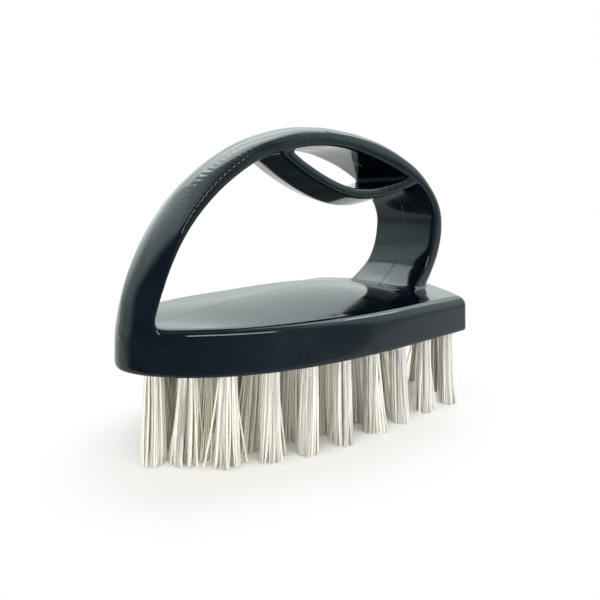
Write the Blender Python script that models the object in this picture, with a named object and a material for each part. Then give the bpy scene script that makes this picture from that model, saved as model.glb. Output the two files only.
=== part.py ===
"""Iron-style scrub brush: a one-piece moulded block with a loop handle, and stapled bristle tufts.

Metres, +Z up. The origin is on the floor under the middle of the brush. +X runs from the pointed nose
to the blunt heel, and the brush is the same on both sides of the plane Y = 0, where its mould parts.
"""

import math
import random

import bmesh
import bpy
from mathutils import Matrix, Vector

# Block
LENGTH = 0.150
WIDTH = 0.0812
NOSE_REACH = 0.112
HEEL_REACH = 0.0275
RIM_HEIGHT = 0.0138
RIM_FILLET = 0.0036
WALL_DRAFT = 0.0005
SOLE_EDGE = 0.0006
DOME_RISE = 0.0050
NOSE_FULLNESS = 3.4
NOSE_POINT = 0.575
HEEL_FULLNESS = 1.15
DOME_RISE_SHARES = (
    # along the length, how far the middle line stands above the rim
    (0.00, -0.25),
    (0.10, -0.12),
    (0.27, 0.50),
    (0.52, 1.00),
    (0.66, 0.76),
    (0.76, 0.20),
    (1.00, 0.00),
)

# Loop handle: a strip with a flat inner face and a crowned outer one
HANDLE_HEIGHT = 0.0756
GRIP_WIDTH = 0.0330
GRIP_DEPTH = 0.0075
EDGE_SHARE = 0.56
INNER_ROUND = 0.0009
PARTING_RIDGE = 0.0004
CROWN_FLATNESS = 2.3
CROWN_ROUNDNESS = 1.8
EDGE_FORM_SHARES = (0.19, 0.61)
CROWN_FORM_SHARES = (0.70, 1.00)
LOOP_SHARES = (
    # the inner edge line along the length and up the handle, the grip's width and its depth
    (0.039, 0.080, 0.72, 0.60),
    (0.040, 0.134, 0.76, 0.69),
    (0.041, 0.184, 0.74, 0.62),
    (0.053, 0.253, 0.71, 0.74),
    (0.066, 0.337, 0.71, 0.67),
    (0.103, 0.474, 0.68, 0.63),
    (0.140, 0.573, 0.66, 0.62),
    (0.196, 0.683, 0.65, 0.74),
    (0.255, 0.768, 0.65, 0.78),
    (0.317, 0.835, 0.65, 0.82),
    (0.379, 0.869, 0.66, 0.95),
    (0.439, 0.896, 0.67, 0.99),
    (0.510, 0.909, 0.70, 0.97),
    (0.562, 0.906, 0.72, 0.97),
    (0.605, 0.894, 0.74, 1.05),
    (0.700, 0.848, 0.81, 1.15),
    (0.790, 0.783, 0.92, 1.03),
    (0.828, 0.748, 0.96, 0.84),
    (0.865, 0.690, 0.98, 0.80),
    (0.890, 0.630, 0.99, 0.86),
    (0.900, 0.570, 0.98, 1.12),
    (0.897, 0.487, 0.97, 1.36),
    (0.889, 0.406, 0.98, 1.27),
    (0.868, 0.321, 1.00, 1.14),
    (0.830, 0.248, 1.05, 1.25),
    (0.790, 0.189, 1.10, 1.45),
    (0.755, 0.139, 1.14, 1.30),
)

# Lower strip, which hangs under the loop and leaves an eye-shaped gap above it
STRIP_THICKNESS = 0.0038
STRIP_ROUND = 0.0010
STRIP_KEEL = 0.0025
STRIP_SET_IN = 0.0006
STRIP_SHARES = (
    # along the length, up the handle: the line of its upper edges
    (0.365, 0.913),
    (0.395, 0.879),
    (0.440, 0.828),
    (0.516, 0.763),
    (0.584, 0.727),
    (0.654, 0.722),
    (0.728, 0.748),
    (0.793, 0.783),
    (0.818, 0.804),
)

# Tufts
BRISTLE_LENGTH = 0.0322
NOSE_TUFT_INSET = 0.0108
OUTER_TUFT_SHARES = (
    # along the length, across half the width: the outer line of tufts on one side
    (0.114, 0.24),
    (0.167, 0.47),
    (0.250, 0.60),
    (0.337, 0.685),
    (0.422, 0.74),
    (0.515, 0.755),
    (0.617, 0.75),
    (0.725, 0.755),
    (0.810, 0.79),
    (0.877, 0.53),
    (0.932, 0.20),
)
INNER_TUFT_INSET = 0.0230
INNER_TUFTS = 16
CENTRE_TUFTS = 6
CENTRE_ROW_SHARES = (0.34, 0.74)
HOLE_DIAMETER = 0.0058
HOLE_DEPTH = 0.0085
FIT_GAP = 0.0003
ROOT_THICKNESS = 0.0022
ANCHOR_THICKNESS = 0.0005
ANCHOR_HEIGHT = 0.0018
STRAND_THICKNESS = 0.0011
STRAND_PITCH = 0.00155
TIP_GAP = 0.0007
STRAY = 0.0006
STRANDS_ROUND = 6
TUFT_KINDS = 4
KNEE_SHARE = 0.45
KNEE_LEAN_SHARE = 0.2
TIP_SHARE = 0.9
ANCHOR_SUNK_SHARE = 0.25

CUT_OVERRUN = 0.001
SEED = 7

# Counts of facets
OUTLINE_STEPS = 64
FILLET_STEPS = 3
DOME_STEPS = 3
LOOP_STEPS = 58
STRIP_STEPS = 18
CROWN_STEPS = 5
HOLE_SIDES = 10
STRAND_SIDES = 3

# Sizes that follow from the others
HALF_WIDTH = WIDTH / 2
HOLE_RADIUS = HOLE_DIAMETER / 2
SOLE = BRISTLE_LENGTH
RIM = SOLE + RIM_HEIGHT
ROOT_RADIUS = HOLE_RADIUS - FIT_GAP
ROOT_TOP = SOLE + HOLE_DEPTH - FIT_GAP - ANCHOR_HEIGHT


def clear_scene():
    """Empty the scene, whatever it holds."""
    for thing in list(bpy.data.objects):
        bpy.data.objects.remove(thing, do_unlink=True)


def new_collection(name):
    """A collection of the scene with this name."""
    made = bpy.data.collections.new(name)
    bpy.context.scene.collection.children.link(made)
    return made


def material(name, colour, roughness, metallic=0.0):
    """A plain surface for one kind of piece."""
    made = bpy.data.materials.new(name)
    made.use_nodes = True
    shader = made.node_tree.nodes["Principled BSDF"]
    shader.inputs["Base Color"].default_value = (*colour, 1.0)
    shader.inputs["Roughness"].default_value = roughness
    shader.inputs["Metallic"].default_value = metallic
    made.diffuse_color = (*colour, 1.0)
    return made


def object_of(name, shape, collection, finish=None):
    """Turn a bmesh into a named object."""
    bmesh.ops.recalc_face_normals(shape, faces=shape.faces)
    mesh = bpy.data.meshes.new(name)
    shape.to_mesh(mesh)
    shape.free()
    made = bpy.data.objects.new(name, mesh)
    collection.objects.link(made)
    if finish:
        mesh.materials.append(finish)
    return made


def as_cutter(thing):
    """Keep a helper out of the render."""
    thing.hide_render = True
    thing.display_type = "WIRE"
    return thing


def boolean(target, other, operation):
    """Add an exact Boolean to the target."""
    made = target.modifiers.new(operation.title(), "BOOLEAN")
    made.operation = operation
    made.solver = "EXACT"
    made.object = other
    return made


def loft(rings):
    """A closed skin over rings with the same count of points."""
    shape = bmesh.new()
    rows = [[shape.verts.new(point) for point in ring] for ring in rings]
    count = len(rows[0])
    for lower, upper in zip(rows, rows[1:]):
        for i in range(count):
            j = (i + 1) % count
            shape.faces.new((lower[i], lower[j], upper[j], upper[i]))
    shape.faces.new(list(reversed(rows[0])))
    shape.faces.new(rows[-1])
    return shape


def spline(points, at):
    """A smooth curve through the points, which are sorted by their first number, read at one value of it."""
    last = len(points) - 2
    span = next((i for i in range(last) if at < points[i + 1][0]), last)
    before = points[max(span - 1, 0)]
    start, end = points[span], points[span + 1]
    after = points[min(span + 2, last + 1)]
    step = end[0] - start[0]
    share = (at - start[0]) / step
    values = []
    for k in range(1, len(start)):
        slope_in = (end[k] - before[k]) / (end[0] - before[0]) * step
        slope_out = (after[k] - start[k]) / (after[0] - start[0]) * step
        values.append(
            start[k] * (2 * share**3 - 3 * share**2 + 1)
            + slope_in * (share**3 - 2 * share**2 + share)
            + end[k] * (3 * share**2 - 2 * share**3)
            + slope_out * (share**3 - share**2)
        )
    return values


def by_chord(points):
    """The points with the length of the line up to each put first."""
    run = 0.0
    made = [(run, *points[0])]
    for before, after in zip(points, points[1:]):
        run += math.dist(before[:2], after[:2])
        made.append((run, *after))
    return made


def half_width_at(along):
    """Half the block's width at a distance from the nose tip."""
    ahead = max(0.0, 1 - along / NOSE_REACH)
    behind = max(0.0, 1 - (LENGTH - along) / HEEL_REACH)
    to_nose = (1 - ahead**NOSE_FULLNESS) ** NOSE_POINT
    to_heel = max(0.0, 1 - behind**HEEL_FULLNESS)
    return HALF_WIDTH * min(to_nose, to_heel)


def outline(steps):
    """The block's plan, from the nose tip along -Y to the heel and back along +Y, as (along, across)."""
    side = []
    for i in range(steps // 2 + 1):
        share = (1 - math.cos(math.pi * i / (steps // 2))) / 2
        along = LENGTH * share
        side.append((along, -half_width_at(along)))
    side[-1] = (LENGTH, 0.0)
    side[0] = (0.0, 0.0)
    back = [(along, -across) for along, across in side[-2:0:-1]]
    return side + back


def inset(points, distance):
    """The block's plan drawn in by about this distance all round."""
    middle = LENGTH / 2
    long_share = (middle - distance) / middle
    wide_share = (HALF_WIDTH - distance) / HALF_WIDTH
    return [(middle + (along - middle) * long_share, across * wide_share) for along, across in points]


def world(along, across, up):
    """A point from its distance from the nose tip."""
    return (along - LENGTH / 2, across, up)


def dome_ridge(along):
    """The height of the dome's middle line."""
    rise = spline(DOME_RISE_SHARES, along / LENGTH)[0]
    return RIM + DOME_RISE * rise


def block_shape():
    """The block: a flat sole, an upright wall, a filleted rim and a domed top that meets in a ridge."""
    plan = outline(OUTLINE_STEPS)
    rings = []
    for drawn_in, up in ((SOLE_EDGE, SOLE), (0.0, SOLE + SOLE_EDGE)):
        rings.append([world(*point, up) for point in inset(plan, drawn_in)])
    for i in range(FILLET_STEPS + 1):
        turn = math.pi / 2 * i / FILLET_STEPS
        drawn_in = WALL_DRAFT + RIM_FILLET * (1 - math.cos(turn))
        up = RIM - RIM_FILLET * (1 - math.sin(turn))
        rings.append([world(*point, up) for point in inset(plan, drawn_in)])
    rim = inset(plan, WALL_DRAFT + RIM_FILLET)
    for i in range(1, DOME_STEPS):
        share = i / DOME_STEPS
        ring = []
        for along, across in rim:
            ridge_up = dome_ridge(along)
            lift = 1 - (1 - share) ** CROWN_ROUNDNESS
            ring.append(world(along, across * (1 - share), RIM + (ridge_up - RIM) * lift))
        rings.append(ring)
    shape = bmesh.new()
    rows = [[shape.verts.new(point) for point in ring] for ring in rings]
    count = len(plan)
    for lower, upper in zip(rows, rows[1:]):
        for i in range(count):
            j = (i + 1) % count
            shape.faces.new((lower[i], lower[j], upper[j], upper[i]))
    shape.faces.new(list(reversed(rows[0])))
    last, half = rows[-1], count // 2
    ridge = [shape.verts.new(world(rim[i][0], 0.0, dome_ridge(rim[i][0]))) for i in range(1, half)]
    ridge = [last[0], *ridge, last[half]]
    for i in range(half):
        near = [last[i], last[i + 1], ridge[i + 1], ridge[i]]
        far = [ridge[i], ridge[i + 1], last[(count - i - 1) % count], last[(count - i) % count]]
        for corners in (near, far):
            shape.faces.new(list(dict.fromkeys(corners)))
    return shape


def between(low, high, at):
    """How far a value has got from low to high, held to 0 and 1."""
    return min(max((at - low) / (high - low), 0.0), 1.0)


def loop_section(half_width, depth, edge_form, crown_form):
    """One section of the loop: (out from the inner edge line, across), round from +Y by the crown to -Y.

    It has the nose's pointed form low on the leg, and by the grip a band with a crown and upright sides.
    """
    edge = max(depth * EDGE_SHARE * edge_form, INNER_ROUND)
    flatness = 1 / NOSE_POINT * (1 - crown_form) + CROWN_FLATNESS * crown_form
    roundness = 1 - crown_form + CROWN_ROUNDNESS * crown_form
    side = []
    for i in range(CROWN_STEPS + 1):
        across_share = math.cos(math.pi / 2 * i / CROWN_STEPS) ** (2 / CROWN_FLATNESS)
        across = half_width * across_share
        side.append((edge + (depth - edge) * (1 - across_share**flatness) ** (1 / roundness), across))
    side.insert(0, (min(INNER_ROUND, edge / 2), half_width))
    other_side = [(out, -across) for out, across in reversed(side[:-1])]
    flat = half_width - INNER_ROUND
    return side + other_side + [(0.0, -flat), (-PARTING_RIDGE, 0.0), (0.0, flat)]


def direction(line, run, nudge):
    """The way that a line of (run, along, up, ...) points heads at one distance along it."""
    before, after = spline(line, max(run - nudge, 0.0)), spline(line, min(run + nudge, line[-1][0]))
    return Vector((after[0] - before[0], after[1] - before[1])).normalized()


def loop_line():
    """The stations of the loop's inner edge line, in real sizes."""
    half = GRIP_WIDTH / 2
    return [(LENGTH * a, HANDLE_HEIGHT * u, half * w, GRIP_DEPTH * d) for a, u, w, d in LOOP_SHARES]


def loop_shape():
    """The loop handle: a crowned strip that leaves the nose, arches over and curls back to the heel."""
    line = by_chord(loop_line())
    total = line[-1][0]
    rings = []
    for i in range(LOOP_STEPS + 1):
        run = total * i / LOOP_STEPS
        along, up, half_width, depth = spline(line, run)
        way = direction(line, run, total / LOOP_STEPS / 2)
        out_way = Vector((-way.y, way.x))
        edge_form = between(*EDGE_FORM_SHARES, up / HANDLE_HEIGHT) if along < LENGTH / 2 else 1.0
        crown_form = between(*CROWN_FORM_SHARES, up / HANDLE_HEIGHT) if along < LENGTH / 2 else 1.0
        section = loop_section(half_width, depth, edge_form, crown_form)
        rings.append(
            [world(along + out_way.x * out, across, SOLE + up + out_way.y * out) for out, across in section]
        )
    return loft(rings)


def strip_section(half_width):
    """One section of the lower strip: (down from the line of its upper edges, across)."""
    corner = STRIP_ROUND * (1 - math.sqrt(0.5))
    side = [
        (0.0, half_width - STRIP_ROUND),
        (corner, half_width - corner),
        (STRIP_ROUND, half_width),
        (STRIP_THICKNESS - STRIP_ROUND, half_width),
        (STRIP_THICKNESS - corner, half_width - corner),
        (STRIP_THICKNESS, half_width - STRIP_ROUND),
    ]
    other_side = [(down, -across) for down, across in reversed(side)]
    return side + [(STRIP_THICKNESS + STRIP_KEEL, 0.0)] + other_side + [(-PARTING_RIDGE, 0.0)]


def strip_shape():
    """The lower strip: a keeled band whose ends run into the loop, and as wide as the loop above it."""
    line = by_chord([(LENGTH * a, HANDLE_HEIGHT * u) for a, u in STRIP_SHARES])
    total = line[-1][0]
    widths = [(along, half_width) for along, up, half_width, _ in loop_line() if up > HANDLE_HEIGHT / 2]
    widths = [pair for pair, after in zip(widths, widths[1:]) if pair[0] < after[0]]
    rings = []
    for i in range(STRIP_STEPS + 1):
        run = total * i / STRIP_STEPS
        along, up = spline(line, run)
        way = direction(line, run, total / STRIP_STEPS / 2)
        down_way = Vector((way.y, -way.x))
        section = strip_section(spline(widths, along)[0] - STRIP_SET_IN)
        ring = []
        for down, across in section:
            ring.append(world(along + down_way.x * down, across, SOLE + up + down_way.y * down))
        rings.append(ring)
    return loft(rings)


def spaced_round(points, count):
    """Places a steady distance apart round a closed plan, the first half a step past its first point."""
    loop = by_chord([*points, points[0]])
    total = loop[-1][0]
    made = []
    for i in range(count):
        run = total * (i + 0.5) / count
        for before, after in zip(loop, loop[1:]):
            if before[0] <= run < after[0]:
                share = (run - before[0]) / (after[0] - before[0])
                made.append(tuple(before[k] + (after[k] - before[k]) * share for k in (1, 2)))
                break
    return made


def tuft_places():
    """The middle of each tuft as (along, across): an outer and an inner ring, and a middle row."""
    side = [(LENGTH * along, HALF_WIDTH * across) for along, across in OUTER_TUFT_SHARES]
    outer = [(NOSE_TUFT_INSET, 0.0), *side, *((along, -across) for along, across in reversed(side))]
    inner = spaced_round(inset(outline(OUTLINE_STEPS), INNER_TUFT_INSET), INNER_TUFTS)
    first, last = (LENGTH * share for share in CENTRE_ROW_SHARES)
    pitch = (last - first) / (CENTRE_TUFTS - 1)
    centre = [(first + pitch * i, 0.0) for i in range(CENTRE_TUFTS)]
    return outer + inner + centre


def tuft_flare(places):
    """How far a tuft's strands spread by the floor, where they stay clear of the strands of the next tuft."""
    closest = min(math.dist(one, other) for i, one in enumerate(places) for other in places[:i])
    return (closest - TIP_GAP - STRAND_THICKNESS) / 2 - STRAND_PITCH - STRAY * math.sqrt(2)


def strand_rings(start, lean, chance):
    """The sections of one strand, from inside the root down to the floor."""
    stray = Vector((chance.uniform(-1, 1), chance.uniform(-1, 1))) * STRAY
    tip = start + lean + stray
    knee = start + (tip - start) * KNEE_LEAN_SHARE
    levels = (
        (start, ROOT_TOP - ROOT_THICKNESS / 2, 1.0),
        (knee, SOLE * KNEE_SHARE, 1.0),
        (tip, 0.0, TIP_SHARE),
    )
    turn = chance.uniform(0, math.tau)
    rings = []
    for middle, up, share in levels:
        ring = []
        for k in range(STRAND_SIDES):
            angle = turn + math.tau * k / STRAND_SIDES
            reach = STRAND_THICKNESS / 2 * share
            ring.append((middle.x + reach * math.cos(angle), middle.y + reach * math.sin(angle), up))
        rings.append(ring)
    return rings


def disc(radius, low, high, sides):
    """An upright cylinder between two heights."""
    shape = bmesh.new()
    place = Matrix.Translation((0, 0, (low + high) / 2))
    bmesh.ops.create_cone(
        shape, cap_ends=True, segments=sides, radius1=radius, radius2=radius, depth=high - low, matrix=place
    )
    return shape


def tuft_mesh(kind, flare, cutters, finish):
    """One tuft about its own axis: strands fused to a root disc, with the flat anchor wire on top."""
    chance = random.Random(SEED + kind)
    plug = disc(ROOT_RADIUS, ROOT_TOP - ROOT_THICKNESS, ROOT_TOP, HOLE_SIDES)
    root = object_of("tuft_root", plug, cutters, finish)
    strands = bmesh.new()
    starts = [(Vector((0, 0)), Vector((0, 0)))]
    for k in range(STRANDS_ROUND):
        angle = math.tau * k / STRANDS_ROUND
        way = Vector((math.cos(angle), math.sin(angle)))
        starts.append((way * STRAND_PITCH, way * flare))
    for start, lean in starts:
        part = loft(strand_rings(start, lean, chance))
        held = bpy.data.meshes.new("strand")
        bmesh.ops.recalc_face_normals(part, faces=part.faces)
        part.to_mesh(held)
        part.free()
        strands.from_mesh(held)
        bpy.data.meshes.remove(held)
    bundle = as_cutter(object_of("tuft_strands", strands, cutters))
    wire = bmesh.new()
    sink = ROOT_THICKNESS * ANCHOR_SUNK_SHARE
    size = Matrix.Diagonal((ROOT_RADIUS * 2 - FIT_GAP, ANCHOR_THICKNESS, ANCHOR_HEIGHT + sink, 1))
    place = Matrix.Translation((0, 0, ROOT_TOP + (ANCHOR_HEIGHT - sink) / 2))
    bmesh.ops.create_cube(wire, size=1, matrix=place @ size)
    anchor = as_cutter(object_of("tuft_anchor", wire, cutters))
    boolean(root, bundle, "UNION")
    boolean(root, anchor, "UNION")
    bpy.context.view_layer.update()
    made = bpy.data.meshes.new_from_object(root.evaluated_get(bpy.context.evaluated_depsgraph_get()))
    made.name = "tuft_mesh"
    for helper in (root, bundle, anchor):
        bpy.data.objects.remove(helper, do_unlink=True)
    return made


def main():
    """Build the brush."""
    clear_scene()
    brush = new_collection("iron_style_scrub_brush")
    cutters = new_collection("cutters")
    cutters.hide_render = True
    slate = material("slate_gloss_plastic", (0.009, 0.018, 0.025), 0.22)
    white = material("white_bristle", (0.78, 0.77, 0.74), 0.45)

    body = object_of("handle_block", block_shape(), brush, slate)
    loop = as_cutter(object_of("loop_form", loop_shape(), cutters))
    strip = as_cutter(object_of("lower_strip_form", strip_shape(), cutters))
    boolean(body, loop, "UNION")
    boolean(body, strip, "UNION")

    places = tuft_places()
    holes = bmesh.new()
    for along, across in places:
        x, y, _ = world(along, across, 0.0)
        low, high = SOLE - CUT_OVERRUN, SOLE + HOLE_DEPTH
        bmesh.ops.create_cone(
            holes,
            cap_ends=True,
            segments=HOLE_SIDES,
            radius1=HOLE_RADIUS,
            radius2=HOLE_RADIUS,
            depth=high - low,
            matrix=Matrix.Translation((x, y, (low + high) / 2)),
        )
    boolean(body, as_cutter(object_of("tuft_holes", holes, cutters)), "DIFFERENCE")

    chance = random.Random(SEED)
    flare = tuft_flare(places)
    kinds = [tuft_mesh(kind, flare, cutters, white) for kind in range(TUFT_KINDS)]
    for number, (along, across) in enumerate(places, 1):
        tuft = bpy.data.objects.new(f"bristle_tuft_{number:02d}", kinds[number % TUFT_KINDS])
        brush.objects.link(tuft)
        x, y, _ = world(along, across, 0.0)
        tuft.location = (x, y, 0.0)
        tuft.rotation_euler = (0.0, 0.0, chance.uniform(0, math.tau))


main()
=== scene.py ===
"""Looks of the iron-style scrub brush: a glossy moulded body with a loop handle, and stapled bristle tufts.

Metres, +Z up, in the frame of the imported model: +X runs from the pointed nose to the blunt heel, the
brush is the same on both sides of Y = 0, and its bristles stand on the floor at Z = 0.
"""

import logging
import math
import random
from dataclasses import dataclass
from enum import Enum
from typing import Sequence, Union

import bmesh
import bpy
import numpy as np
from mathutils import Matrix, Vector

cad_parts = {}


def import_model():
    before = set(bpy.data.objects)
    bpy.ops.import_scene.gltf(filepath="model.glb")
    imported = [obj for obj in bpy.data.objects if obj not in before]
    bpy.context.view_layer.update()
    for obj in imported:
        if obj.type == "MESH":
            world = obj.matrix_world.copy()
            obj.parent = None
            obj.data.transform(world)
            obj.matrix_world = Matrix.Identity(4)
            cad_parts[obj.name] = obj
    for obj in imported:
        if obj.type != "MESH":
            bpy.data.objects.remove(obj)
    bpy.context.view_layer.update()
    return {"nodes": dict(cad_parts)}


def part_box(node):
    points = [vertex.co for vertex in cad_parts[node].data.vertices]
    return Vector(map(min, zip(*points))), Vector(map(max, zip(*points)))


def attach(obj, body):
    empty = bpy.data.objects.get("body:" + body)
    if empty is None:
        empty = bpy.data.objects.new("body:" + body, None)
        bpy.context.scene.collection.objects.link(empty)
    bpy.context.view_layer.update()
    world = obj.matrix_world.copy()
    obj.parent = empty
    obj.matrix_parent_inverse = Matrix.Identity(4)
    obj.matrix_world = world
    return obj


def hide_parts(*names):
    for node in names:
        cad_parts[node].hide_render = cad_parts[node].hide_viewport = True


LOG = logging.getLogger("scrub_brush")
BODY_NODE = "handle_block"
TUFT_PREFIX = "bristle_tuft_"
ROOT_BODY = "root"
LEAN_SEED = 1100
STRAND_SEED = 11
GOLDEN_TURN = math.pi * (3 - math.sqrt(5))

Span = tuple[float, float]
Colour = tuple[float, float, float]
Table = tuple[tuple[float, ...], ...]
Ring = Sequence[Sequence[float]]
Feed = Union[bpy.types.NodeSocket, float, Colour]


class Slot(Enum):
    """The record's material slots."""

    BODY = "body_plastic"
    BRISTLE = "bristle"


class Operation(Enum):
    """How one mesh works on another."""

    JOIN = "UNION"
    CUT = "DIFFERENCE"


# Shared curves and chances


def spline(points: Sequence[Sequence[float]], at: float) -> list[float]:
    """Read a smooth curve through points at one value of their first number.

    Args:
        points: rows sorted by their first number.
        at: the value of the first number to read at.

    Returns:
        The other numbers of the row there.
    """
    last = len(points) - 2
    span = next((i for i in range(last) if at < points[i + 1][0]), last)
    before, start, end = points[max(span - 1, 0)], points[span], points[span + 1]
    after = points[min(span + 2, last + 1)]
    step = end[0] - start[0]
    share = (at - start[0]) / step
    values = []
    for k in range(1, len(start)):
        slope_in = (end[k] - before[k]) / (end[0] - before[0]) * step
        slope_out = (after[k] - start[k]) / (after[0] - start[0]) * step
        values.append(
            start[k] * (2 * share**3 - 3 * share**2 + 1)
            + slope_in * (share**3 - 2 * share**2 + share)
            + end[k] * (3 * share**2 - 2 * share**3)
            + slope_out * (share**3 - share**2)
        )
    return values


def by_chord(points: Sequence[Sequence[float]]) -> list[tuple[float, ...]]:
    """Put the length of the line up to each point first.

    Args:
        points: rows whose first two numbers are a place.

    Returns:
        The rows with that length before them.
    """
    run = 0.0
    made = [(run, *points[0])]
    for before, after in zip(points, points[1:]):
        run += math.dist(before[:2], after[:2])
        made.append((run, *after))
    return made


def quarter_round(radius: float, steps: int) -> list[Span]:
    """The points of a rounded corner.

    Args:
        radius: the corner's radius.
        steps: how many steps it has.

    Returns:
        How far each point is from the face that the round starts on, and from the one that it ends on.
    """
    turns = [math.pi / 2 * i / steps for i in range(steps + 1)]
    return [(radius * (1 - math.cos(turn)), radius * (1 - math.sin(turn))) for turn in turns]


def between(low: float, high: float, at: float) -> float:
    """How far a value has got from low to high, held to 0 and 1."""
    return min(max((at - low) / (high - low), 0.0), 1.0)


def eased(share: float, bend: float) -> float:
    """A share that starts slower and ends faster, the more so the larger the bend."""
    return (1 - bend) * share + bend * share**2


def scatter(chance: random.Random, reach: float) -> Vector:
    """A level step by chance, of about this reach."""
    return Vector((chance.gauss(0, reach), chance.gauss(0, reach)))


# Shared mesh helpers


def skin_rings(shape: bmesh.types.BMesh, rings: Sequence[Ring]) -> list[list[bmesh.types.BMVert]]:
    """Join closed rings that have the same count of points, and close the first one.

    Args:
        shape: the mesh that they are added to.
        rings: the rings in order.

    Returns:
        The rings' corners.
    """
    rows = [[shape.verts.new(point) for point in ring] for ring in rings]
    count = len(rows[0])
    for lower, upper in zip(rows, rows[1:]):
        for i in range(count):
            j = (i + 1) % count
            shape.faces.new((lower[i], lower[j], upper[j], upper[i]))
    shape.faces.new(list(reversed(rows[0])))
    return rows


def loft(rings: Sequence[Ring]) -> bmesh.types.BMesh:
    """Skin closed rings and close both ends.

    Args:
        rings: the rings in order.

    Returns:
        The closed shape.
    """
    shape = bmesh.new()
    rows = skin_rings(shape, rings)
    shape.faces.new(rows[-1])
    return shape


def object_of(name: str, shape: bmesh.types.BMesh) -> bpy.types.Object:
    """Turn a bmesh into an object of the scene.

    Args:
        name: the object's name.
        shape: the mesh, which is used up.

    Returns:
        The object.
    """
    bmesh.ops.recalc_face_normals(shape, faces=shape.faces)
    mesh = bpy.data.meshes.new(name)
    shape.to_mesh(mesh)
    shape.free()
    made = bpy.data.objects.new(name, mesh)
    bpy.context.scene.collection.objects.link(made)
    return made


def bake_modifiers(thing: bpy.types.Object) -> None:
    """Make the modifiers of an object part of its mesh.

    Args:
        thing: the object.
    """
    bpy.context.view_layer.update()
    graph = bpy.context.evaluated_depsgraph_get()
    made = bpy.data.meshes.new_from_object(thing.evaluated_get(graph))
    old = thing.data
    thing.modifiers.clear()
    thing.data = made
    made.name = thing.name
    bpy.data.meshes.remove(old)


def combine(target: bpy.types.Object, other: bpy.types.Object, operation: Operation) -> None:
    """Join or cut a mesh by another one, which is used up.

    Args:
        target: the mesh that stays.
        other: the mesh that joins or cuts it.
        operation: which of the two.
    """
    made = target.modifiers.new(operation.name.title(), "BOOLEAN")
    made.operation = operation.value
    made.solver = "EXACT"
    made.object = other
    bake_modifiers(target)
    spent = other.data
    bpy.data.objects.remove(other, do_unlink=True)
    bpy.data.meshes.remove(spent)


def dress(thing: bpy.types.Object, finish: bpy.types.Material, slot: Slot, *nodes: str) -> None:
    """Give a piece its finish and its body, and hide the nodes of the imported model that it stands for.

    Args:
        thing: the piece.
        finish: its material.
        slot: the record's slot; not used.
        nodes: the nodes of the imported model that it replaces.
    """
    thing.data.materials.clear()
    thing.data.materials.append(finish)
    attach(thing, ROOT_BODY)
    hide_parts(*nodes)


# Shared node groups


def new_group(
    name: str, values: dict[str, float], results: Sequence[str]
) -> tuple[bpy.types.ShaderNodeTree, bpy.types.Node, bpy.types.Node]:
    """Make a shader node group that takes a place and some numbers, and puts out numbers.

    Args:
        name: the group's name.
        values: name and starting value of each number that it takes.
        results: names of the numbers that it puts out.

    Returns:
        The group, its input node and its output node.
    """
    group = bpy.data.node_groups.new(name, "ShaderNodeTree")
    group.interface.new_socket(name="Vector", in_out="INPUT", socket_type="NodeSocketVector")
    for label, value in values.items():
        socket = group.interface.new_socket(name=label, in_out="INPUT", socket_type="NodeSocketFloat")
        socket.default_value = value
    for label in results:
        group.interface.new_socket(name=label, in_out="OUTPUT", socket_type="NodeSocketFloat")
    return group, group.nodes.new("NodeGroupInput"), group.nodes.new("NodeGroupOutput")


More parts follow.
